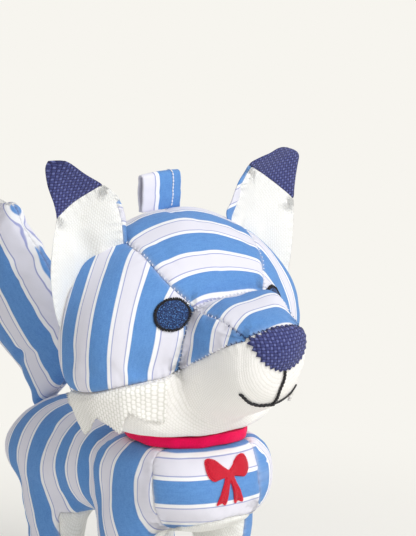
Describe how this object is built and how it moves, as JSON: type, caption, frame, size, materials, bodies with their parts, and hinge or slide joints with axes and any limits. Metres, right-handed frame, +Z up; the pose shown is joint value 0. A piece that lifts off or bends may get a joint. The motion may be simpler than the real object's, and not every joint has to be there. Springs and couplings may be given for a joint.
{
  "type": "plush fox",
  "caption": "Standing soft toy fox sewn from striped cotton, with canvas ear tips and nose, embroidered eyes, cheek tufts, felt collar, tape loop and leaf-shaped tail.",
  "frame": {"origin": "on the floor under the toy, midway between its two sides and between nose and tail", "axes": "-Y towards the nose, +Z up, +X towards the toy's own left side"},
  "size_m": [0.162, 0.2474, 0.2476],
  "materials": {
    "blue_stripe": "matte",
    "pale_stripe": "matte",
    "off_white": "matte",
    "navy": "matte",
    "red_felt": "matte",
    "black_thread": "matte",
    "stuffing": "matte"
  },
  "bodies": {
    "torso": {"torso_stuffing": "stuffing", "neck_stuffing": "stuffing", "collar": "red_felt", "chest_panel": "blue_stripe", "belly_gusset": "off_white", "chest_motif": "red_felt", "body_side_right": "pale_stripe", "body_side_left": "pale_stripe", "front_right_leg": "blue_stripe", "front_right_sole": "off_white", "front_left_leg": "blue_stripe", "front_left_sole": "off_white", "hind_right_leg": "blue_stripe", "hind_right_sole": "off_white", "hind_left_leg": "blue_stripe", "hind_left_sole": "off_white"},
    "head": {"head_stuffing": "stuffing", "crown_gusset": "blue_stripe", "jaw_panel": "off_white", "nose_patch": "navy", "mouth_stitch": "black_thread", "lip_stitch": "black_thread", "face_panel_right": "pale_stripe", "muzzle_panel_right": "blue_stripe", "eye_right": "navy", "cheek_tuft_right": "off_white", "face_panel_left": "pale_stripe", "muzzle_panel_left": "blue_stripe", "eye_left": "navy", "cheek_tuft_left": "off_white"},
    "ear_right": {"ear_lining_right": "off_white", "ear_back_right": "blue_stripe", "ear_tip_right": "navy"},
    "ear_left": {"ear_lining_left": "off_white", "ear_back_left": "blue_stripe", "ear_tip_left": "navy"},
    "loop": {"hanging_loop": "blue_stripe"},
    "tail": {"tail_stuffing": "stuffing", "tail_side_right": "blue_stripe", "tail_side_left": "blue_stripe", "tail_tip": "off_white"}
  },
  "joints": [
    {"name": "head_turn", "type": "hinge", "parent": "torso", "child": "head", "pos_m": [0, -0.04454, 0.105], "axis": [0, 0, 1], "range_deg": [-15, 15], "stiffness_Nm_per_rad": 0.05},
    {"name": "ear_right_fold", "type": "hinge", "parent": "head", "child": "ear_right", "pos_m": [-0.05892, -0.03799, 0.18557], "axis": [0.6206, -0.1709, 0.7653], "range_deg": [0, 60], "stiffness_Nm_per_rad": 0.01},
    {"name": "ear_left_fold", "type": "hinge", "parent": "head", "child": "ear_left", "pos_m": [0.05892, -0.03799, 0.18557], "axis": [0.6206, 0.1709, -0.7653], "range_deg": [0, 60], "stiffness_Nm_per_rad": 0.01},
    {"name": "loop_fold", "type": "hinge", "parent": "head", "child": "loop", "pos_m": [0, -0.02354, 0.21595], "axis": [1, 0, 0], "range_deg": [-65, 40], "stiffness_Nm_per_rad": 0.001},
    {"name": "tail_swing", "type": "hinge", "parent": "torso", "child": "tail", "pos_m": [0, 0.07276, 0.10207], "axis": [0, 0, 1], "range_deg": [-25, 25], "stiffness_Nm_per_rad": 0.03}
  ]
}
